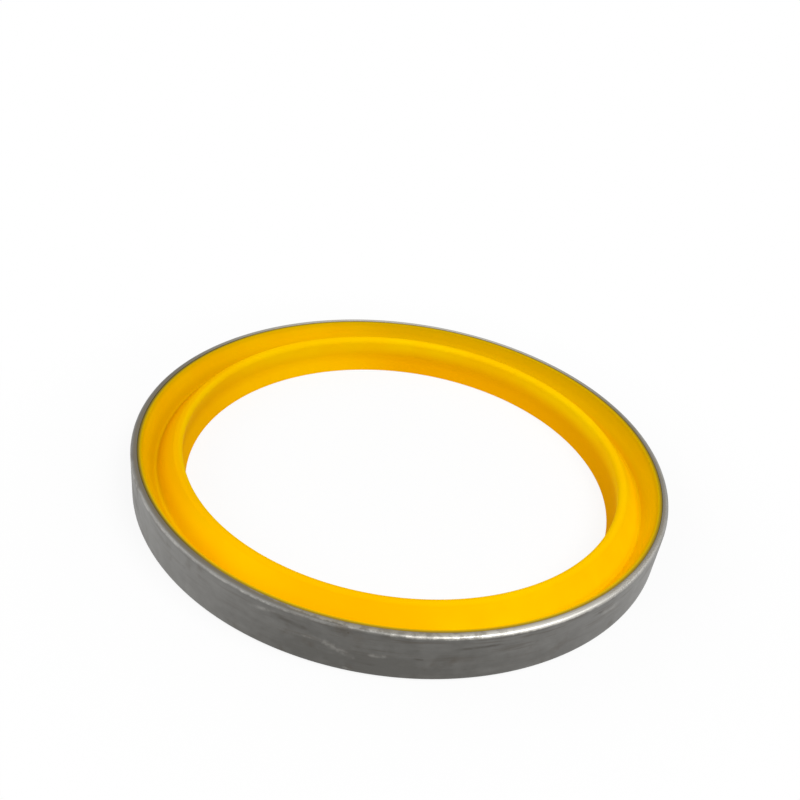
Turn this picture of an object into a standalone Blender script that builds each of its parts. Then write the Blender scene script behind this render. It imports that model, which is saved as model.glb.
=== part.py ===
"""Metal-cased hydraulic wiper seal for a 75 mm rod, in a 90 mm housing bore, 8 mm high.

Two pieces: a case pressed from steel sheet, L-shaped in section, and a polyurethane wiper
that is moulded and bonded inside it. Both are turned about the rod's axis.
Metres, +Z up. The origin is on the axis, at the level of the case's underside.
"""

from math import asin, atan2, ceil, cos, pi, sin, sqrt, tan

import bpy
from mathutils import Vector

MM = 0.001

# The rod, and the radial room between it and the housing bore that the seal fills
ROD_DIAMETER = 75.0 * MM
RADIAL_SECTION = 7.5 * MM
HOUSING_BORE_DIAMETER = ROD_DIAMETER + 2.0 * RADIAL_SECTION

# Steel case, whose flange reaches inwards from the outside of the wall
CASE_HEIGHT = 8.0 * MM
SHEET_THICKNESS = 1.0 * MM
RIM_ROUND = 0.4 * MM
BEND_OUTER_RADIUS = 0.6 * MM
BEND_INNER_RADIUS = 0.4 * MM
FLANGE_WIDTH = 4.5 * MM
FLANGE_BORE_DIAMETER = HOUSING_BORE_DIAMETER - 2.0 * FLANGE_WIDTH

# Layer of bonding agent between the steel and the polyurethane
BOND_LINE = 0.25 * MM

# Polyurethane lining of the case's wall: a narrow land at the rim, then a gently hollow slope
LINING_BELOW_RIM = 0.05 * MM
LINING_TOP_WIDTH = 0.4 * MM
LINING_FOOT_WIDTH = 1.2 * MM
LINING_FOOT_DEPTH = 2.4 * MM
LINING_FOOT_ROUND = 4.0 * MM

# Groove between the lining and the upper lip
GROOVE_FROM_WALL = 2.45 * MM
GROOVE_DEPTH = 4.1 * MM
GROOVE_ROUND = 0.4 * MM

# Lips, with the amount that each is smaller than the rod on diameter
UPPER_LIP_INTERFERENCE = 1.0 * MM
UPPER_LIP_BELOW_RIM = 0.7 * MM
UPPER_LIP_TIP_RADIUS = 0.9 * MM
LOWER_LIP_INTERFERENCE = 1.8 * MM
LOWER_LIP_EDGE_ROUND = 0.12 * MM

# Relief between the lips, which stays clear of the rod
WAIST_CLEARANCE = 0.2 * MM
WAIST_HEIGHT = 2.8 * MM
WAIST_ROUND = 3.0 * MM

# Underside of the wiper, just above the flange's, so that the seal rests on steel
HEEL_RECESS = 0.1 * MM
HEEL_EDGE_ROUND = 0.2 * MM

# Facets: steps of a full turn, and the widest angle of one step round a fillet
TURN_STEPS = 96
FILLET_STEP = 25.0

STEEL_COLOR = (0.42, 0.41, 0.39, 1.0)
POLYURETHANE_COLOR = (0.93, 0.57, 0.02, 1.0)


def arc(centre, start, end):
    """Points round a centre from one point to another, the short way, ends included."""
    from_centre = start - centre
    to_centre = end - centre
    first = atan2(from_centre.y, from_centre.x)
    sweep = atan2(to_centre.y, to_centre.x) - first
    if sweep > pi:
        sweep -= 2.0 * pi
    if sweep < -pi:
        sweep += 2.0 * pi
    steps = max(2, ceil(abs(sweep) * 180.0 / pi / FILLET_STEP))
    angles = [first + sweep * step / steps for step in range(steps + 1)]
    return [centre + Vector((cos(a), sin(a))) * from_centre.length for a in angles]


def fillet(before, corner, after, radius):
    """The arc that rounds a corner between its two neighbours in the section."""
    back = (before - corner).normalized()
    ahead = (after - corner).normalized()
    half_angle = back.angle(ahead) / 2.0
    reach = radius / tan(half_angle)
    centre = corner + (back + ahead).normalized() * (radius / sin(half_angle))
    return arc(centre, corner + back * reach, corner + ahead * reach)


def touch_point(point, centre, radius, side):
    """Where a straight line from a point touches a circle; side is 1 or -1."""
    offset = centre - point
    turn = side * asin(radius / offset.length)
    heading = atan2(offset.y, offset.x) + turn
    reach = sqrt(offset.length_squared - radius * radius)
    return point + Vector((cos(heading), sin(heading))) * reach


def case_outline():
    """Section of the steel case: down the wall, along the flange, and back up the inside."""
    outer = HOUSING_BORE_DIAMETER / 2.0
    inner = outer - SHEET_THICKNESS
    flange = FLANGE_BORE_DIAMETER / 2.0

    rim_outside = Vector((outer, CASE_HEIGHT))
    heel = Vector((outer, 0.0))
    flange_under = Vector((flange, 0.0))
    flange_top = Vector((flange, SHEET_THICKNESS))
    inside_corner = Vector((inner, SHEET_THICKNESS))
    rim_inside = Vector((inner, CASE_HEIGHT))

    outline = fillet(rim_inside, rim_outside, heel, RIM_ROUND)
    outline += fillet(rim_outside, heel, flange_under, BEND_OUTER_RADIUS)
    outline += [flange_under, flange_top]
    outline += fillet(flange_top, inside_corner, rim_inside, BEND_INNER_RADIUS)
    outline.append(rim_inside)
    return outline


def wiper_outline():
    """Section of the wiper: down its bonded side, along the heel, up the bore, over the lip."""
    bonded = HOUSING_BORE_DIAMETER / 2.0 - SHEET_THICKNESS - BOND_LINE
    heel_outer = FLANGE_BORE_DIAMETER / 2.0 - BOND_LINE
    on_flange = SHEET_THICKNESS + BOND_LINE
    lining_top = CASE_HEIGHT - LINING_BELOW_RIM
    rod = ROD_DIAMETER / 2.0

    lining_outside = Vector((bonded, lining_top))
    bonded_corner = Vector((bonded, on_flange))
    flange_step = Vector((heel_outer, on_flange))
    heel_outside = Vector((heel_outer, HEEL_RECESS))
    lower_lip = Vector((rod - LOWER_LIP_INTERFERENCE / 2.0, HEEL_RECESS))
    waist = Vector((rod + WAIST_CLEARANCE / 2.0, WAIST_HEIGHT))
    groove = Vector((bonded - GROOVE_FROM_WALL, CASE_HEIGHT - GROOVE_DEPTH))
    lining_foot = Vector((bonded - LINING_FOOT_WIDTH, CASE_HEIGHT - LINING_FOOT_DEPTH))
    lining_inside = Vector((bonded - LINING_TOP_WIDTH, lining_top))

    # The upper lip's tip is an arc that the bore and the flank run into
    tip_radius = UPPER_LIP_TIP_RADIUS
    tip_centre = Vector((rod - UPPER_LIP_INTERFERENCE / 2.0 + tip_radius,
                         CASE_HEIGHT - UPPER_LIP_BELOW_RIM - tip_radius))
    tip_bore_side = touch_point(waist, tip_centre, tip_radius, 1)
    tip_flank_side = touch_point(groove, tip_centre, tip_radius, -1)

    outline = [lining_outside]
    outline += fillet(lining_outside, bonded_corner, flange_step, BEND_INNER_RADIUS)
    outline.append(flange_step)
    outline += fillet(flange_step, heel_outside, lower_lip, HEEL_EDGE_ROUND)
    outline += fillet(heel_outside, lower_lip, waist, LOWER_LIP_EDGE_ROUND)
    outline += fillet(lower_lip, waist, tip_bore_side, WAIST_ROUND)
    outline += arc(tip_centre, tip_bore_side, tip_flank_side)
    outline += fillet(tip_flank_side, groove, lining_foot, GROOVE_ROUND)
    outline += fillet(groove, lining_foot, lining_inside, LINING_FOOT_ROUND)
    outline.append(lining_inside)
    return outline


def make_material(name, color, metallic, roughness):
    material = bpy.data.materials.new(name)
    material.use_nodes = True
    shader = material.node_tree.nodes["Principled BSDF"]
    shader.inputs["Base Color"].default_value = color
    shader.inputs["Metallic"].default_value = metallic
    shader.inputs["Roughness"].default_value = roughness
    return material


def turned_piece(name, outline, material, collection):
    """A closed section in the XZ plane, turned once about Z."""
    mesh = bpy.data.meshes.new(name)
    points = [(point.x, 0.0, point.y) for point in outline]
    edges = [(index, (index + 1) % len(points)) for index in range(len(points))]
    mesh.from_pydata(points, edges, [])
    piece = bpy.data.objects.new(name, mesh)
    piece.data.materials.append(material)
    collection.objects.link(piece)

    screw = piece.modifiers.new("turn", "SCREW")
    screw.axis = "Z"
    screw.angle = 2.0 * pi
    screw.steps = TURN_STEPS
    screw.render_steps = TURN_STEPS
    screw.use_merge_vertices = True
    screw.merge_threshold = 0.00001
    screw.use_smooth_shade = True
    return piece


def build_seal():
    for leftover in list(bpy.data.objects):
        bpy.data.objects.remove(leftover, do_unlink=True)
    collection = bpy.data.collections.new("hydraulic_wiper_seal")
    bpy.context.scene.collection.children.link(collection)

    steel = make_material("case_steel", STEEL_COLOR, 1.0, 0.45)
    polyurethane = make_material("wiper_polyurethane", POLYURETHANE_COLOR, 0.0, 0.38)
    turned_piece("steel_case", case_outline(), steel, collection)
    turned_piece("polyurethane_wiper", wiper_outline(), polyurethane, collection)


build_seal()
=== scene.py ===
# Visual model of a metal-cased hydraulic wiper seal: a pressed steel case with a wiper of
# amber polyurethane bonded inside it, lying flat with its open rim and upper lip upwards.
from math import atan2, ceil, cos, pi, radians, sin, sqrt, tan

import bmesh
import bpy
from mathutils import Matrix, Vector


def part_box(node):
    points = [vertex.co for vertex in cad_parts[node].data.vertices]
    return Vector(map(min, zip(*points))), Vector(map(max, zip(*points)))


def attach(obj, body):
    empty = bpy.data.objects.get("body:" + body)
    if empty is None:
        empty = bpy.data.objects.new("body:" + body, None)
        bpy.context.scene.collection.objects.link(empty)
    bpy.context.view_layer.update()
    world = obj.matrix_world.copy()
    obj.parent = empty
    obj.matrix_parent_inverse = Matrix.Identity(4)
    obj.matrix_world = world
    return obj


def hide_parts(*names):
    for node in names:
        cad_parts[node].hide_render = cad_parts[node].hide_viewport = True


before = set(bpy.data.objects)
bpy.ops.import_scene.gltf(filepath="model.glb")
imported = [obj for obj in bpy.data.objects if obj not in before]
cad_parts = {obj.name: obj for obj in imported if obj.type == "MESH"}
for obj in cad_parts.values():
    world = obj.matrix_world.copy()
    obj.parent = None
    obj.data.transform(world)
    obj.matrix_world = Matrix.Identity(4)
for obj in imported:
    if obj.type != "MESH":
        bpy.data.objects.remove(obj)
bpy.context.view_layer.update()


# Steel case.
# A cup pressed from thin steel sheet: a wall that is a press fit in the housing, and a
# flange turned in at the foot. Its sheared rim is rounded, worn bright, and carries a painted highlight.
MM = 0.001

_, case_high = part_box("steel_case")
CASE_RADIUS = case_high.x
CASE_HEIGHT = case_high.z
SHEET = 1.0 * MM
FLANGE_WIDTH = 4.5 * MM
RIM_ROUND = 0.4 * MM
RIM_BURR_ROUND = 0.05 * MM
HEEL_ROUND = 0.6 * MM
BEND_ROUND = 0.4 * MM
SHEARED_EDGE_ROUND = 0.08 * MM

ROUND_SEGMENTS = 8
LONGEST_STRAIGHT = 0.35 * MM
TURN_STEPS = 256
MERGE_DISTANCE = 0.001 * MM

DULL_STEEL = (0.123, 0.119, 0.110, 1.0)
# The wall's grey mottle, which also gives the painted sheen on its sides
SHEEN_AND_MOTTLE_GREY = (0.242, 0.238, 0.226, 1.0)
BROWN_STAIN = (0.085, 0.066, 0.048, 1.0)
DARK_STAIN = (0.092, 0.084, 0.074, 1.0)
BROWN_EDGE = (0.168, 0.146, 0.108, 1.0)
# Bright worn steel, which also gives the rim's painted highlight and painted reflection
RUBBED_STEEL_AND_HIGHLIGHT = (0.70, 0.68, 0.63, 1.0)

# Finishes go by radius and height in mm, set off from these three sizes of the steel, and by
# degrees from the near side, which count up to the right and down to the left
WALL = CASE_RADIUS / MM
RIM = CASE_HEIGHT / MM
WALL_INSIDE = (CASE_RADIUS - SHEET) / MM

# Scales of the noise in the steel's finish, whose streaks are drawn out along the wall
STREAKS_ALONG = 0.16 / MM
STREAKS_UPWARDS = 0.75 / MM
CLOUDS = 0.5 / MM
BROWN_CLOUDS = 0.22 / MM
WORN_PATCHES = 0.75 / MM
CREASE_BREAKS = 0.26 / MM
FINE_UNEVENNESS = 1.3 / MM
RIM_GRAIN = 4.0 / MM

# How far the finishes' edges wander up and down, in mm, and how many degrees earlier the
# streak on the rim starts for each mm inwards
EDGE_WANDER = 0.35
STREAK_SLANT = 32.0

# Marks on the wall: where each begins and ends, in degrees and mm of height, and its width in mm
SCRATCHES = (
    ((-13.4, 4.72), (-8.6, 4.70), 0.45),
    ((-9.8, 4.78), (-6.2, 3.85), 0.75),
    ((-7.4, 4.25), (-3.2, 2.65), 0.75),
    ((-1.8, 3.85), (2.0, 4.15), 0.50),
    ((-5.6, 0.82), (-3.7, 0.56), 0.36),
    ((42.0, 5.75), (48.4, 5.10), 1.00),
    ((-23.6, 6.10), (-17.0, 7.10), 0.50),
)
STAINS = (
    ((-67.0, 4.30), (-56.5, 3.90), 1.80),
    ((-18.5, 6.50), (-11.0, 5.90), 0.60),
    ((-5.0, 2.45), (0.5, 2.20), 0.50),
    ((5.6, 4.10), (8.0, 4.00), 0.32),
    ((12.0, 5.90), (22.0, 6.30), 0.40),
    ((41.0, 6.35), (42.6, 6.00), 0.42),
)
SCRATCH_SHARE = 0.17
STAIN_SHARE = 0.8


def round_corner(shape, corner, radius):
    """Rounds one corner of a flat section by a radius."""
    before, after = [edge.other_vert(corner).co - corner.co for edge in corner.link_edges]
    reach = radius / tan(before.angle(after) / 2.0)
    bmesh.ops.bevel(shape, geom=[corner], offset=reach, offset_type="OFFSET", segments=ROUND_SEGMENTS,
                    profile=0.5, affect="VERTICES", material=-1)


def turned_ring(name, corners):
    """A ring turned round the seal's axis from a section of (radius, height, rounding) corners."""
    shape = bmesh.new()
    section = [shape.verts.new((radius, 0.0, height)) for radius, height, _ in corners]
    shape.faces.new(section)
    for corner, (_, _, rounding) in zip(section, corners):
        if rounding > 0.0:
            round_corner(shape, corner, rounding)
    for edge in shape.edges[:]:
        cuts = ceil(edge.calc_length() / LONGEST_STRAIGHT) - 1
        if cuts > 0:
            bmesh.ops.subdivide_edges(shape, edges=[edge], cuts=cuts)
    bmesh.ops.delete(shape, geom=shape.faces[:], context="FACES_ONLY")
    bmesh.ops.spin(shape, geom=shape.verts[:] + shape.edges[:], cent=(0.0, 0.0, 0.0), axis=(0.0, 0.0, 1.0),
                   angle=2.0 * pi, steps=TURN_STEPS, use_merge=True, use_duplicate=False)
    bmesh.ops.remove_doubles(shape, verts=shape.verts[:], dist=MERGE_DISTANCE)
    bmesh.ops.recalc_face_normals(shape, faces=shape.faces[:])
    mesh = bpy.data.meshes.new(name)
    shape.to_mesh(mesh)
    shape.free()
    mesh.shade_smooth()
    ring = bpy.data.objects.new(name, mesh)
    bpy.context.scene.collection.objects.link(ring)
    return ring


def feed(tree, socket, value):
    """Gives an input its value: the output of another node, or a constant."""
    if isinstance(value, bpy.types.NodeSocket):
        tree.links.new(value, socket)
    else:
        socket.default_value = value


def add_math(tree, operation, first, second=None, clamp=False):
    """A Math node on one or two values; returns its output."""
    node = tree.nodes.new("ShaderNodeMath")
    node.operation = operation
    node.use_clamp = clamp
    feed(tree, node.inputs[0], first)
    if second is not None:
        feed(tree, node.inputs[1], second)
    return node.outputs["Value"]


def add_chain(tree, operation, values):
    """Math nodes one after another, which take in the values in turn; returns the last output."""
    result = values[0]
    for value in values[1:]:
        result = add_math(tree, operation, result, value)
    return result


def total(tree, *values):
    """Values added up."""
    return add_chain(tree, "ADD", values)


def product(tree, *values):
    """Values multiplied together, such as masks that all have to hold."""
    return add_chain(tree, "MULTIPLY", values)


def highest(tree, *values):
    """The highest of several values, such as masks of which one has to hold."""
    return add_chain(tree, "MAXIMUM", values)


def centred(tree, noise):
    """Noise moved from about a half to about nought."""
    return add_math(tree, "SUBTRACT", noise, 0.5)


def add_range(tree, value, low, high, to_low=0.0, to_high=1.0):
    """A value brought smoothly from one range to another; returns its output."""
    node = tree.nodes.new("ShaderNodeMapRange")
    node.interpolation_type = "SMOOTHSTEP"
    feed(tree, node.inputs["Value"], value)
    node.inputs["From Min"].default_value = low
    node.inputs["From Max"].default_value = high
    node.inputs["To Min"].default_value = to_low
    node.inputs["To Max"].default_value = to_high
    return node.outputs["Result"]


def add_band(tree, value, begins, full, fades, ends):
    """A mask that rises from begins to full, and falls again from fades to ends."""
    return product(tree, add_range(tree, value, begins, full), add_range(tree, value, ends, fades))


def degrees_from(tree, around, place):
    """How many degrees apart a point and a place are, without going round by the far side."""
    return add_math(tree, "ABSOLUTE", add_math(tree, "SUBTRACT", around, place))


def add_vector_math(tree, operation, first, second=None, scale=None):
    """A Vector Math node; returns a number for a length or a dot product, and a vector otherwise."""
    node = tree.nodes.new("ShaderNodeVectorMath")
    node.operation = operation
    feed(tree, node.inputs[0], first)
    if second is not None:
        feed(tree, node.inputs[1], second)
    if scale is not None:
        feed(tree, node.inputs["Scale"], scale)
    return node.outputs["Value" if operation in ("LENGTH", "DOT_PRODUCT") else "Vector"]


def add_noise(tree, vector, scale, detail, roughness):
    """Smooth noise over a vector; returns its value."""
    node = tree.nodes.new("ShaderNodeTexNoise")
    feed(tree, node.inputs["Vector"], vector)
    node.inputs["Scale"].default_value = scale
    node.inputs["Detail"].default_value = detail
    node.inputs["Roughness"].default_value = roughness
    return node.outputs["Fac"]


def add_layers(tree, colour, layers):
    """Colours laid over a first one in turn, each by its mask; returns the last mix."""
    for mask, finish in layers:
        mix = tree.nodes.new("ShaderNodeMix")
        mix.data_type = "RGBA"
        # A Mix node has sockets of the same names for numbers, so its colours go by their places
        factor, below, above, mixed = mix.inputs[0], mix.inputs[6], mix.inputs[7], mix.outputs[2]
        feed(tree, factor, mask)
        feed(tree, below, colour)
        feed(tree, above, finish)
        colour = mixed
    return colour


def add_relief(tree, shader, relief, strength, depth):
    """Bumps a shader's surface by a relief; depth is in metres."""
    bump = tree.nodes.new("ShaderNodeBump")
    bump.inputs["Strength"].default_value = strength
    bump.inputs["Distance"].default_value = depth
    feed(tree, bump.inputs["Height"], relief)
    feed(tree, shader.inputs["Normal"], bump.outputs["Normal"])


def new_group(name, inputs, outputs):
    """An empty node group with named sockets; returns it with its two end nodes."""
    group = bpy.data.node_groups.new(name, "ShaderNodeTree")
    for socket_name, socket_type, value in inputs:
        socket = group.interface.new_socket(socket_name, in_out="INPUT", socket_type=socket_type)
        if value is not None:
            socket.default_value = value
    for socket_name in outputs:
        group.interface.new_socket(socket_name, in_out="OUTPUT", socket_type="NodeSocketFloat")
    start = group.nodes.new("NodeGroupInput")
    end = group.nodes.new("NodeGroupOutput")
    return group, start, end


def add_group(tree, group, **values):
    """Places a node group; values are sockets or constants, named as its inputs."""
    node = tree.nodes.new("ShaderNodeGroup")
    node.node_tree = group
    for name, value in values.items():
        feed(tree, node.inputs[name], value)
    return node


def make_ring_place_group():
    """Where a point of the ring is: its radius and height in mm, and its angle from the near side."""
    group, start, end = new_group(
        "ring place",
        [("Object", "NodeSocketVector", None)],
        ["Radius", "Height", "Around"])
    split = group.nodes.new("ShaderNodeSeparateXYZ")
    feed(group, split.inputs[0], start.outputs["Object"])
    x, y, z = split.outputs
    squared = total(group, product(group, x, x), product(group, y, y))
    radians_around = add_math(group, "ARCTAN2", x, product(group, y, -1.0))
    feed(group, end.inputs["Radius"], product(group, add_math(group, "SQRT", squared), 1.0 / MM))
    feed(group, end.inputs["Height"], product(group, z, 1.0 / MM))
    feed(group, end.inputs["Around"], product(group, radians_around, 180.0 / pi))
    return group


def make_turned_lines_group():
    """Fine lines round the ring, as pressing and turning leave them; Pitch and Length are in mm."""
    group, start, end = new_group(
        "turned lines",
        [("Object", "NodeSocketVector", None), ("Radius", "NodeSocketFloat", 40.0),
         ("Height", "NodeSocketFloat", 4.0), ("Pitch", "NodeSocketFloat", 0.2),
         ("Length", "NodeSocketFloat", 30.0)],
        ["Lines"])
    split = group.nodes.new("ShaderNodeSeparateXYZ")
    feed(group, split.inputs[0], start.outputs["Object"])
    per_length = add_math(group, "DIVIDE", 1.0 / MM, start.outputs["Length"])
    across = add_math(group, "SUBTRACT", start.outputs["Height"], start.outputs["Radius"])
    joined = group.nodes.new("ShaderNodeCombineXYZ")
    feed(group, joined.inputs["X"], product(group, split.outputs["X"], per_length))
    feed(group, joined.inputs["Y"], product(group, split.outputs["Y"], per_length))
    feed(group, joined.inputs["Z"], add_math(group, "DIVIDE", across, start.outputs["Pitch"]))
    feed(group, end.inputs["Lines"], add_noise(group, joined.outputs[0], 1.0, 2.0, 0.6))
    return group


def make_specks_group():
    """Scattered grains of dust or grit; Spacing is in mm, Share is how many places hold one."""
    group, start, end = new_group(
        "specks",
        [("Object", "NodeSocketVector", None), ("Spacing", "NodeSocketFloat", 1.0),
         ("Share", "NodeSocketFloat", 0.2), ("Size", "NodeSocketFloat", 0.2)],
        ["Mask"])
    per_space = add_math(group, "DIVIDE", 1.0 / MM, start.outputs["Spacing"])
    cells = group.nodes.new("ShaderNodeTexVoronoi")
    cells.inputs["Scale"].default_value = 1.0
    feed(group, cells.inputs["Vector"],
         add_vector_math(group, "SCALE", start.outputs["Object"], scale=per_space))
    split = group.nodes.new("ShaderNodeSeparateColor")
    feed(group, split.inputs[0], cells.outputs["Color"])
    chosen = add_math(group, "LESS_THAN", split.outputs[0], start.outputs["Share"])
    near = add_math(group, "SUBTRACT", start.outputs["Size"], cells.outputs["Distance"])
    edge = add_math(group, "DIVIDE", near, start.outputs["Size"], clamp=True)
    soft = add_math(group, "SMOOTH_MIN", product(group, edge, 2.0), 1.0)
    feed(group, end.inputs["Mask"], add_math(group, "MULTIPLY", chosen, soft, clamp=True))
    return group


def make_wall_mark_group():
    """A straight mark on the wall between two places, which are (degrees, mm); Width is in mm."""
    group, start, end = new_group(
        "wall mark",
        [("Around", "NodeSocketFloat", 0.0), ("Height", "NodeSocketFloat", 4.0),
         ("From", "NodeSocketVector", (0.0, 0.0, 0.0)), ("To", "NodeSocketVector", (1.0, 0.0, 0.0)),
         ("Width", "NodeSocketFloat", 0.15)],
        ["Mask"])

    def on_wall(degrees, millimetres):
        joined = group.nodes.new("ShaderNodeCombineXYZ")
        feed(group, joined.inputs["X"], product(group, degrees, WALL * pi / 180.0))
        feed(group, joined.inputs["Y"], millimetres)
        return joined.outputs[0]

    ends = []
    for name in ("From", "To"):
        split = group.nodes.new("ShaderNodeSeparateXYZ")
        feed(group, split.inputs[0], start.outputs[name])
        ends.append(on_wall(split.outputs["X"], split.outputs["Y"]))
    here = on_wall(start.outputs["Around"], start.outputs["Height"])
    run = add_vector_math(group, "SUBTRACT", ends[1], ends[0])
    offset = add_vector_math(group, "SUBTRACT", here, ends[0])
    share = add_math(group, "DIVIDE", add_vector_math(group, "DOT_PRODUCT", offset, run),
                     add_vector_math(group, "DOT_PRODUCT", run, run), clamp=True)
    nearest = add_vector_math(group, "SCALE", run, scale=share)
    away = add_vector_math(group, "LENGTH", add_vector_math(group, "SUBTRACT", offset, nearest))

    # The mark fades and narrows towards both ends
    fade = add_range(group, product(group, share, add_math(group, "SUBTRACT", 1.0, share)), 0.0, 0.22)
    reach = product(group, start.outputs["Width"], add_range(group, fade, 0.0, 1.0, 0.3, 1.0))
    near = add_math(group, "SUBTRACT", 1.0, add_math(group, "DIVIDE", away, reach), clamp=True)
    feed(group, end.inputs["Mask"], product(group, add_range(group, near, 0.0, 1.0), fade))
    return group


ring_place = make_ring_place_group()
turned_lines = make_turned_lines_group()
specks = make_specks_group()
wall_mark = make_wall_mark_group()


def ring_spot(tree):
    """A point of the surface: its place, its radius and height in mm, and its degrees around."""
    place = tree.nodes.new("ShaderNodeTexCoord").outputs["Object"]
    ring = add_group(tree, ring_place, Object=place)
    return place, ring.outputs["Radius"], ring.outputs["Height"], ring.outputs["Around"]


def lines_round(tree, spot, pitch, length=30.0):
    """Fine lines round the ring; pitch and length are in mm."""
    place, radius, height, _ = spot
    lines = add_group(tree, turned_lines, Object=place, Radius=radius, Height=height,
                      Pitch=pitch, Length=length)
    return lines.outputs["Lines"]


def wall_sheen_and_mottle(tree, spot, streaks, clouds):
    """The lighter parts of the wall: painted sheen on the near left and the right, lighter towards the upper
    wall, all mottled.
    """
    _, _, height, around = spot
    near_left = product(tree, add_range(tree, around, -8.0, -42.0),
                        add_range(tree, around, -75.0, -48.0, 0.45, 1.0))
    right = product(tree, add_range(tree, around, -5.0, 72.0),
                    add_range(tree, around, 178.0, 110.0, 0.45, 1.0))
    # Painted sheen: the near left and the right of the wall are lighter
    painted_side_sheen = product(tree, total(tree, near_left, right), 0.8)
    mottle = total(tree, centred(tree, streaks), product(tree, centred(tree, clouds), 0.6))
    upper_wall = add_range(tree, height, 1.0, RIM - 0.5, -0.02, 0.16)
    return add_math(tree, "ADD", total(tree, painted_side_sheen, mottle), upper_wall, clamp=True)


def brown_streaks(tree, spot):
    """Brown streaks along the wall, mostly under the rim and to the right."""
    _, _, height, around = spot
    drawn = lines_round(tree, spot, pitch=0.55, length=7.0)
    return product(tree, add_range(tree, drawn, 0.50, 0.68, 0.0, 0.42),
                   add_range(tree, height, 2.5, RIM - 1.5, 0.25, 1.0),
                   add_range(tree, around, -35.0, 12.0, 0.45, 1.0))


def near_rim_wear_and_highlight(tree, spot, level, patches):
    """Wear and a painted highlight in a bright streak on the rim at the near right: in patches at first, then
    all over.
    """
    place, radius, _, around = spot
    earlier_inwards = product(tree, add_math(tree, "SUBTRACT", WALL - 0.25, radius), STREAK_SLANT)
    covered = product(tree, add_range(tree, total(tree, around, earlier_inwards), -20.0, 15.0),
                      add_range(tree, around, 175.0, 50.0, 0.35, 1.0))
    worn_and_highlit = add_range(tree, total(tree, covered, patches), 0.80, 1.24)

    # Pits break it up at its left end, and finer ones towards the right
    pits = highest(tree, add_range(tree, patches, 0.38, 0.58, 0.35, 1.0),
                   add_range(tree, around, 10.0, 27.0))
    grain = add_noise(tree, place, RIM_GRAIN, 2.0, 0.5)
    fine_pits = highest(tree, add_range(tree, grain, 0.36, 0.62, 0.50, 1.0),
                        add_range(tree, around, 62.0, 36.0))

    # Its painted highlight is brightest a little right of the front, and duller against the wiper and down
    # the shoulder
    brushed = lines_round(tree, spot, pitch=0.16, length=5.0)
    on_top = highest(tree, add_range(tree, radius, WALL - 0.07, WALL - 0.30, 0.6, 1.0),
                     add_range(tree, around, 46.0, 30.0))
    return product(tree, worn_and_highlit, pits, fine_pits, on_top,
                   add_range(tree, around, 82.0, 26.0, 0.26, 1.0),
                   add_range(tree, around, 2.0, 24.0, 0.42, 1.0),
                   add_range(tree, brushed, 0.32, 0.62, 0.70, 1.0),
                   add_range(tree, radius, WALL_INSIDE + 0.02, WALL - 0.30, 0.30, 1.0),
                   add_range(tree, level, RIM - 0.45, RIM - 0.14))


def far_rim_painted_reflection(tree, spot):
    """A painted reflection on the far side of the rim: even, and half as bright."""
    _, _, height, around = spot
    away = add_math(tree, "ABSOLUTE", around)
    return product(tree, add_range(tree, height, RIM - 0.4, RIM - 0.2),
                   add_range(tree, away, 98.0, 165.0, 0.0, 0.5))


def lit_crease(tree, spot):
    """A soft broken line of light along the foot of the rim's shoulder, at the near left."""
    place, _, height, around = spot
    crease = add_band(tree, height, RIM - 0.40, RIM - 0.26, RIM - 0.20, RIM - 0.08)
    near_left = add_band(tree, around, -110.0, -76.0, -24.0, 2.0)
    breaks = add_noise(tree, place, CREASE_BREAKS, 4.0, 0.7)
    return product(tree, crease, near_left, add_range(tree, breaks, 0.40, 0.60, 0.05, 0.33))


def wall_marks(tree, spot, level, places):
    """Marks on the outside of the wall, each from one place to another."""
    _, radius, _, around = spot
    marks = []
    for begin, finish, width in places:
        mark = add_group(tree, wall_mark, Around=around, Height=level,
                         From=(*begin, 0.0), To=(*finish, 0.0), Width=width)
        marks.append(mark.outputs["Mask"])
    return product(tree, highest(tree, *marks), add_range(tree, radius, WALL - 0.10, WALL - 0.03))


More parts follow.
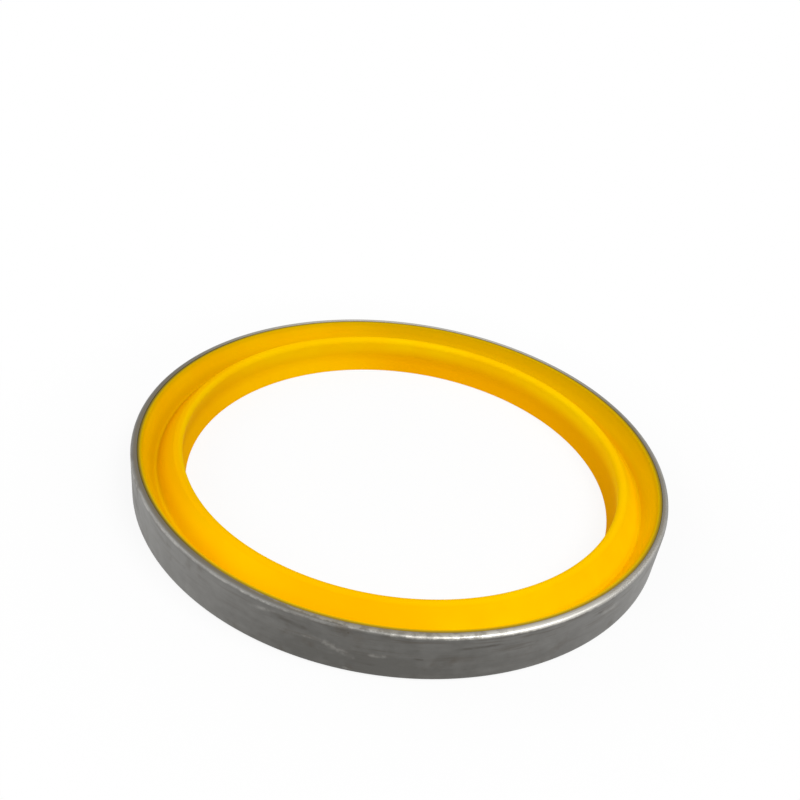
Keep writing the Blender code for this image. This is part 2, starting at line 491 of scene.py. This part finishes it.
def make_steel():
    """Dull pressed steel: brown-grey, cloudy along the wall with painted sheen on its sides, worn bright on
    the rim's shoulder under a painted highlight.
    """
    material = bpy.data.materials.new("pressed_steel")
    material.use_nodes = True
    tree = material.node_tree
    shader = tree.nodes["Principled BSDF"]
    spot = ring_spot(tree)
    place, radius, height, _ = spot

    stretched = tree.nodes.new("ShaderNodeMapping")
    stretched.inputs["Scale"].default_value = (STREAKS_ALONG, STREAKS_ALONG, STREAKS_UPWARDS)
    feed(tree, stretched.inputs["Vector"], place)
    streaks = add_noise(tree, stretched.outputs[0], 1.0, 4.0, 0.55)
    clouds = add_noise(tree, place, CLOUDS, 3.0, 0.5)
    patches = add_noise(tree, place, WORN_PATCHES, 4.0, 0.65)
    fine = add_noise(tree, place, FINE_UNEVENNESS, 3.0, 0.6)
    brown = add_noise(tree, place, BROWN_CLOUDS, 3.0, 0.6)

    level = total(tree, height, product(tree, centred(tree, fine), EDGE_WANDER))
    sheared_top = product(tree, add_range(tree, radius, WALL - 0.20, WALL - 0.70),
                          add_range(tree, level, RIM - 0.40, RIM - 0.26))
    wear_and_painted_highlight = highest(tree, near_rim_wear_and_highlight(tree, spot, level, patches), far_rim_painted_reflection(tree, spot),
                     lit_crease(tree, spot))
    scratched = product(tree, wall_marks(tree, spot, level, SCRATCHES),
                        add_range(tree, patches, 0.40, 0.62, 0.2, 1.0))
    stained = product(tree, wall_marks(tree, spot, level, STAINS), STAIN_SHARE,
                      add_range(tree, clouds, 0.36, 0.58, 0.25, 1.0))
    dirt = add_group(tree, specks, Object=place, Spacing=2.1, Share=0.10, Size=0.10)
    colour = add_layers(tree, DULL_STEEL, [
        (wall_sheen_and_mottle(tree, spot, streaks, clouds), SHEEN_AND_MOTTLE_GREY),
        (add_range(tree, brown, 0.54, 0.76, 0.0, 0.45), BROWN_STAIN),
        (brown_streaks(tree, spot), BROWN_STAIN),
        (sheared_top, BROWN_EDGE),
        # Wear on the rim, with its painted highlight and painted reflection
        (wear_and_painted_highlight, RUBBED_STEEL_AND_HIGHLIGHT),
        (product(tree, scratched, SCRATCH_SHARE), RUBBED_STEEL_AND_HIGHLIGHT),
        (stained, DARK_STAIN),
        (dirt.outputs["Mask"], BROWN_STAIN),
    ])
    feed(tree, shader.inputs["Base Color"], colour)

    shader.inputs["Metallic"].default_value = 1.0
    dull = add_range(tree, streaks, 0.3, 0.7, 0.44, 0.56)
    feed(tree, shader.inputs["Roughness"],
         add_math(tree, "SUBTRACT", dull, product(tree, wear_and_painted_highlight, 0.10)))
    relief = total(tree, product(tree, lines_round(tree, spot, pitch=0.22), 0.4),
                   product(tree, fine, 0.6), product(tree, scratched, -0.3))
    add_relief(tree, shader, relief, strength=0.4, depth=0.04 * MM)
    return material


flange_radius = CASE_RADIUS - FLANGE_WIDTH
inside_radius = CASE_RADIUS - SHEET
case = turned_ring("case_shell", [
    (CASE_RADIUS, CASE_HEIGHT, RIM_ROUND),
    (CASE_RADIUS, 0.0, HEEL_ROUND),
    (flange_radius, 0.0, SHEARED_EDGE_ROUND),
    (flange_radius, SHEET, SHEARED_EDGE_ROUND),
    (inside_radius, SHEET, BEND_ROUND),
    (inside_radius, CASE_HEIGHT, RIM_BURR_ROUND),
])
case.data.materials.append(make_steel())
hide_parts("steel_case")
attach(case, "root")


# Polyurethane wiper.
# Moulded in one shot and bonded inside the case: a thin lining of the wall, a V-groove that
# lets the upper lip flex, a rounded upper lip, a relieved waist and a sharp lower lip.
ROD_RADIUS = 37.5 * MM
BOND_LINE = 0.03 * MM
FOOT_GAP = 0.25 * MM
LINING_BELOW_RIM = 0.05 * MM
LINING_TOP_WIDTH = 0.65 * MM
LINING_FOOT_WIDTH = 1.45 * MM
LINING_FOOT_DEPTH = 2.4 * MM
LINING_FOOT_ROUND = 4.0 * MM
GROOVE_FROM_CASE = 2.7 * MM
GROOVE_DEPTH = 4.1 * MM
GROOVE_ROUND = 0.4 * MM
UPPER_LIP_BELOW_RIM = 0.7 * MM
UPPER_LIP_SQUEEZE = 0.5 * MM
UPPER_LIP_ROUND = 0.9 * MM
LOWER_LIP_SQUEEZE = 0.9 * MM
LOWER_LIP_ROUND = 0.12 * MM
WAIST_CLEARANCE = 0.1 * MM
WAIST_HEIGHT = 2.8 * MM
WAIST_ROUND = 3.0 * MM
HEEL_RECESS = 0.1 * MM
HEEL_EDGE_ROUND = 0.2 * MM
LINING_EDGE_ROUND = 0.06 * MM
LINING_LAND_ROUND = 0.35 * MM

AMBER = (0.97, 0.61, 0.0, 1.0)
DEEP_AMBER = (0.96, 0.50, 0.0, 1.0)
# Painted shades of amber for the left flank, the lining, the groove and the bore
LEFT_FLANK_SHADE_AMBER = (0.88, 0.445, 0.0, 1.0)
LINING_SHADE_AMBER = (0.74, 0.46, 0.0, 1.0)
GROOVE_SHADE_AMBER = (0.74, 0.41, 0.0, 1.0)
BORE_SHADE_AMBER = (0.82, 0.385, 0.0, 1.0)
OLIVE_AMBER = (0.58, 0.36, 0.0, 1.0)
BOND_BROWN = (0.17, 0.125, 0.02, 1.0)
PALE_EDGE = (0.66, 0.49, 0.05, 1.0)
GLOSS_TINT = (1.0, 0.72, 0.12, 1.0)
FAINT_GLOSS = 0.002
AMBER_CLOUDS = 0.09 / MM
SATIN_GRAIN = 1.6 / MM

# The painted shades of amber are set off from these two radii, in mm
ROD = ROD_RADIUS / MM
GROOVE = (CASE_RADIUS - SHEET - GROOVE_FROM_CASE) / MM

# Places round the ring that they lie about, in degrees from the near side
FRONT = -10.0
NEAR_LEFT = -37.0
LEFT = -82.0
FAR_LEFT = -140.0


def tip_corner(point, centre, radius, side, top):
    """Where the line from a point that grazes the tip's circle crosses the level of its top."""
    offset = centre - point
    heading = atan2(offset.y, offset.x) + side * atan2(radius, sqrt(offset.length_squared - radius * radius))
    return Vector((point.x + (top - point.y) / tan(heading), top))


def groove_painted_shade(tree, spot, at_left):
    """Painted shade down the groove: it is widest at the left, and there is none at the near right."""
    _, radius, _, around = spot
    outwards = total(tree, radius, product(tree, at_left, 0.8))
    off_near_right = highest(tree, add_range(tree, around, 58.0, 95.0),
                             add_range(tree, around, 0.0, -30.0))
    return product(tree, add_range(tree, outwards, GROOVE - 1.3, GROOVE + 0.1),
                   add_range(tree, radius, GROOVE + 1.7, GROOVE + 0.6),
                   add_range(tree, at_left, 0.0, 1.0, 0.65, 1.0),
                   add_range(tree, add_math(tree, "ABSOLUTE", around), 40.0, 80.0, 0.3, 1.0),
                   off_near_right)


def lining_painted_shade(tree, spot):
    """Painted shade on the lining round the right and far sides."""
    _, radius, _, around = spot
    right_and_far = highest(tree, add_range(tree, around, 0.0, 40.0, 0.2, 1.0),
                            add_range(tree, around, -148.0, -180.0, 0.2, 1.0))
    return product(tree, add_range(tree, radius, GROOVE + 0.3, GROOVE + 0.9),
                   add_range(tree, add_math(tree, "ABSOLUTE", around), 55.0, 130.0), right_and_far)


def bore_painted_shade(tree, spot, at_left):
    """Painted shade towards the foot of the bore: it starts higher at the left, weaker at the far left."""
    _, radius, height, around = spot
    sunk = add_math(tree, "SUBTRACT", height, product(tree, at_left, 2.0))
    from_far_left = degrees_from(tree, around, FAR_LEFT)
    return product(tree, add_range(tree, radius, ROD + 0.9, ROD + 0.4),
                   add_range(tree, sunk, 6.0, 2.4),
                   add_range(tree, at_left, 0.0, 1.0, 1.0, 0.7),
                   add_range(tree, from_far_left, 40.0, 12.0, 1.0, 0.4))


def pale_edge(tree, spot, from_steel):
    """A pale line on the lining's outermost edge, at the left and the far side."""
    _, _, height, around = spot
    left_or_far = highest(tree, add_range(tree, around, 10.0, -30.0),
                          add_range(tree, around, 145.0, 178.0))
    return product(tree, add_range(tree, from_steel, 0.42, 0.34),
                   add_range(tree, height, RIM - 0.2, RIM - 0.1),
                   add_range(tree, add_math(tree, "ABSOLUTE", around), 40.0, 80.0, 0.0, 0.3),
                   left_or_far)


def make_polyurethane():
    """Dull amber polyurethane: painted shade deepens it in the groove, the bore, the lining and the lip;
    olive where it thins at the steel.
    """
    material = bpy.data.materials.new("amber_polyurethane")
    material.use_nodes = True
    tree = material.node_tree
    shader = tree.nodes["Principled BSDF"]
    spot = ring_spot(tree)
    place, radius, _, around = spot

    clouds = add_noise(tree, place, AMBER_CLOUDS, 3.0, 0.5)
    from_left = degrees_from(tree, around, LEFT)
    at_left = add_range(tree, from_left, 65.0, 25.0)

    # Painted shade makes the lip's crest, and its flank down to the groove, deeper at the left; they are
    # deeper at the front too
    crest_painted_shade = product(tree, add_band(tree, radius, ROD - 0.3, ROD + 0.2, ROD + 0.7, ROD + 1.3),
                    add_range(tree, degrees_from(tree, around, NEAR_LEFT), 45.0, 12.0, 0.35, 0.9))
    flank = add_band(tree, radius, ROD - 0.2, ROD + 0.4, GROOVE - 0.9, GROOVE - 0.2)
    left_flank_painted_shade = product(tree, flank, add_range(tree, from_left, 50.0, 20.0, 0.0, 0.9))
    near_flank = product(tree, flank,
                         add_range(tree, degrees_from(tree, around, FRONT), 26.0, 4.0, 0.0, 0.8))

    # Olive where the lining thins out against the steel, with a brown line of bonding agent
    from_steel = add_math(tree, "SUBTRACT", WALL_INSIDE, radius)
    thin = product(tree, add_range(tree, from_steel, 0.4, 1.0, 0.95, 0.0),
                   add_range(tree, add_math(tree, "ABSOLUTE", around), 30.0, 80.0, 0.2, 1.0))
    bond = product(tree, add_range(tree, from_steel, 0.62, 0.10),
                   highest(tree, add_range(tree, from_left, 75.0, 40.0), 0.8))
    colour = add_layers(tree, AMBER, [
        (add_range(tree, clouds, 0.35, 0.7, 0.0, 0.5), DEEP_AMBER),
        # Painted shade in the groove, on the crest, the left flank, the lining and the bore
        (groove_painted_shade(tree, spot, at_left), GROOVE_SHADE_AMBER),
        (crest_painted_shade, DEEP_AMBER),
        (left_flank_painted_shade, LEFT_FLANK_SHADE_AMBER),
        (near_flank, DEEP_AMBER),
        (lining_painted_shade(tree, spot), LINING_SHADE_AMBER),
        (bore_painted_shade(tree, spot, at_left), BORE_SHADE_AMBER),
        (thin, OLIVE_AMBER),
        (pale_edge(tree, spot, from_steel), PALE_EDGE),
        (bond, BOND_BROWN),
    ])
    feed(tree, shader.inputs["Base Color"], colour)

    fine = add_noise(tree, place, SATIN_GRAIN, 3.0, 0.5)
    feed(tree, shader.inputs["Roughness"], add_range(tree, fine, 0.3, 0.7, 0.44, 0.58))
    shader.inputs["Specular IOR Level"].default_value = FAINT_GLOSS
    shader.inputs["Specular Tint"].default_value = GLOSS_TINT
    relief = total(tree, product(tree, lines_round(tree, spot, pitch=0.3), 0.3),
                   product(tree, fine, 0.7))
    add_relief(tree, shader, relief, strength=0.2, depth=0.02 * MM)
    return material


bonded_radius = inside_radius - BOND_LINE
lining_top = CASE_HEIGHT - LINING_BELOW_RIM
heel_outer = flange_radius - FOOT_GAP
on_flange = SHEET + BOND_LINE
waist = Vector((ROD_RADIUS + WAIST_CLEARANCE, WAIST_HEIGHT))
groove = Vector((inside_radius - GROOVE_FROM_CASE, CASE_HEIGHT - GROOVE_DEPTH))
lip_top = CASE_HEIGHT - UPPER_LIP_BELOW_RIM
tip_centre = Vector((ROD_RADIUS - UPPER_LIP_SQUEEZE + UPPER_LIP_ROUND, lip_top - UPPER_LIP_ROUND))
tip_bore_side = tip_corner(waist, tip_centre, UPPER_LIP_ROUND, 1.0, lip_top)
tip_flank_side = tip_corner(groove, tip_centre, UPPER_LIP_ROUND, -1.0, lip_top)
wiper = turned_ring("wiper_ring", [
    (bonded_radius, lining_top, LINING_EDGE_ROUND),
    (bonded_radius, on_flange, BEND_ROUND),
    (heel_outer, on_flange, 0.0),
    (heel_outer, HEEL_RECESS, HEEL_EDGE_ROUND),
    (ROD_RADIUS - LOWER_LIP_SQUEEZE, HEEL_RECESS, LOWER_LIP_ROUND),
    (waist.x, waist.y, WAIST_ROUND),
    (tip_bore_side.x, tip_bore_side.y, UPPER_LIP_ROUND),
    (tip_flank_side.x, tip_flank_side.y, UPPER_LIP_ROUND),
    (groove.x, groove.y, GROOVE_ROUND),
    (inside_radius - LINING_FOOT_WIDTH, CASE_HEIGHT - LINING_FOOT_DEPTH, LINING_FOOT_ROUND),
    (inside_radius - LINING_TOP_WIDTH, lining_top, LINING_LAND_ROUND),
])
wiper.data.materials.append(make_polyurethane())
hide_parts("polyurethane_wiper")
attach(wiper, "root")


# Studio.
# A plain white floor that keeps a faint shadow, a white surround, and four soft lamps: the
# strongest high at the near right, and weaker ones near the front, the near left and the left.
FLOOR_SIZE = 6.0
FLOOR_DROP = 0.005 * MM
FLOOR_GREY = (0.9, 0.9, 0.9, 1.0)
FLOOR_ROUGHNESS = 0.9
WHITE = (1.0, 1.0, 1.0, 1.0)
SURROUND_STRENGTH = 0.34
LAMP_DISTANCE = 0.6
LAMP_SIZE = 0.35

# The shadow's share of the floor's white, and the radii in mm between which it fades out
SHADOW_SHARE = 0.12
SHADOW_FULL = 50.0
SHADOW_ENDS = 80.0


def seen_as_background(tree):
    """1 for rays from the camera, a gloss or a clear material, which see the plain white."""
    path = tree.nodes.new("ShaderNodeLightPath")
    return highest(tree, path.outputs["Is Camera Ray"], path.outputs["Is Glossy Ray"],
                   path.outputs["Is Transmission Ray"])


def mix_shaders(tree, share, below, above, output):
    """Sends a mix of two shaders to an output."""
    mixed = tree.nodes.new("ShaderNodeMixShader")
    feed(tree, mixed.inputs["Fac"], share)
    feed(tree, mixed.inputs[1], below.outputs[0])
    feed(tree, mixed.inputs[2], above.outputs[0])
    feed(tree, output.inputs["Surface"], mixed.outputs[0])


def make_floor():
    """A floor just below the seal: it keeps a faint shadow round the seal, and is plain white further out."""
    shape = bmesh.new()
    bmesh.ops.create_grid(shape, x_segments=1, y_segments=1, size=FLOOR_SIZE / 2.0)
    bmesh.ops.translate(shape, verts=shape.verts[:], vec=(0.0, 0.0, -FLOOR_DROP))
    mesh = bpy.data.meshes.new("floor")
    shape.to_mesh(mesh)
    shape.free()
    floor = bpy.data.objects.new("floor", mesh)
    bpy.context.scene.collection.objects.link(floor)

    material = bpy.data.materials.new("white_floor")
    material.use_nodes = True
    tree = material.node_tree
    paper = tree.nodes["Principled BSDF"]
    paper.inputs["Base Color"].default_value = FLOOR_GREY
    paper.inputs["Roughness"].default_value = FLOOR_ROUGHNESS
    paper.inputs["Specular IOR Level"].default_value = 0.0
    white = tree.nodes.new("ShaderNodeEmission")
    white.inputs["Strength"].default_value = 1.0
    _, radius, _, _ = ring_spot(tree)
    bare = add_range(tree, radius, SHADOW_FULL, SHADOW_ENDS, 1.0 - SHADOW_SHARE, 1.0)
    mix_shaders(tree, product(tree, seen_as_background(tree), bare), paper, white,
                tree.nodes["Material Output"])
    floor.data.materials.append(material)


def make_surround():
    """A soft white light from all sides, which is seen as plain white."""
    world = bpy.data.worlds.new("white_surround")
    world.use_nodes = True
    tree = world.node_tree
    glow = tree.nodes["Background"]
    glow.inputs["Color"].default_value = WHITE
    glow.inputs["Strength"].default_value = SURROUND_STRENGTH
    white = tree.nodes.new("ShaderNodeBackground")
    white.inputs["Color"].default_value = WHITE
    white.inputs["Strength"].default_value = 1.0
    mix_shaders(tree, seen_as_background(tree), glow, white, tree.nodes["World Output"])
    bpy.context.scene.world = world


def soft_lamp(name, degrees_around, degrees_up, watts):
    """A square soft lamp that faces the seal, placed by its degrees from the near side and upwards."""
    light = bpy.data.lights.new(name, "AREA")
    light.shape = "SQUARE"
    light.size = LAMP_SIZE
    light.energy = watts
    lamp = bpy.data.objects.new(name, light)
    bpy.context.scene.collection.objects.link(lamp)
    around = radians(degrees_around)
    upwards = radians(degrees_up)
    direction = Vector((sin(around) * cos(upwards), -cos(around) * cos(upwards), sin(upwards)))
    lamp.location = direction * LAMP_DISTANCE
    lamp.rotation_euler = direction.to_track_quat("Z", "Y").to_euler()


make_floor()
make_surround()
soft_lamp("key_light", degrees_around=55.0, degrees_up=62.0, watts=1.75)
soft_lamp("near_light", degrees_around=20.0, degrees_up=60.0, watts=0.52)
soft_lamp("fill_light", degrees_around=-50.0, degrees_up=40.0, watts=0.60)
soft_lamp("left_light", degrees_around=-100.0, degrees_up=32.0, watts=0.58)


# Camera.
# Above the near side and looking down at the seal, slightly rolled. The seal lies low in
# the frame, as in the photograph, and the lens is not shifted.
FRAME_WIDTH_PX = 800.0
FOCAL_PX = 835.0
SENSOR_WIDTH = 36.0
NEAREST_SEEN = 1.0 * MM

# Where it stands and how it is turned: angles in radians, and distances in radii of the case
DOWNWARD_TILT = 0.5445
ROLL = -0.14303
DISTANCE = 3.28348
ASIDE = -0.00344
UPWARD = -0.29255


def make_camera():
    """The camera that sees the seal from the photograph's place."""
    right = Vector((1.0, 0.0, 0.0))
    up = Vector((0.0, sin(DOWNWARD_TILT), cos(DOWNWARD_TILT)))
    ahead = Vector((0.0, cos(DOWNWARD_TILT), -sin(DOWNWARD_TILT)))
    rolled_right = right * cos(ROLL) - up * sin(ROLL)
    rolled_up = right * sin(ROLL) + up * cos(ROLL)
    place = -(ahead * DISTANCE + rolled_right * ASIDE + rolled_up * UPWARD) * CASE_RADIUS
    data = bpy.data.cameras.new("camera")
    data.lens = SENSOR_WIDTH * FOCAL_PX / FRAME_WIDTH_PX
    data.sensor_width = SENSOR_WIDTH
    data.clip_start = NEAREST_SEEN
    camera = bpy.data.objects.new("camera", data)
    bpy.context.scene.collection.objects.link(camera)
    turned = Matrix((rolled_right, rolled_up, -ahead)).transposed()
    camera.matrix_world = Matrix.Translation(place) @ turned.to_4x4()
    bpy.context.scene.camera = camera


make_camera()
bpy.context.scene.view_settings.view_transform = "Standard"
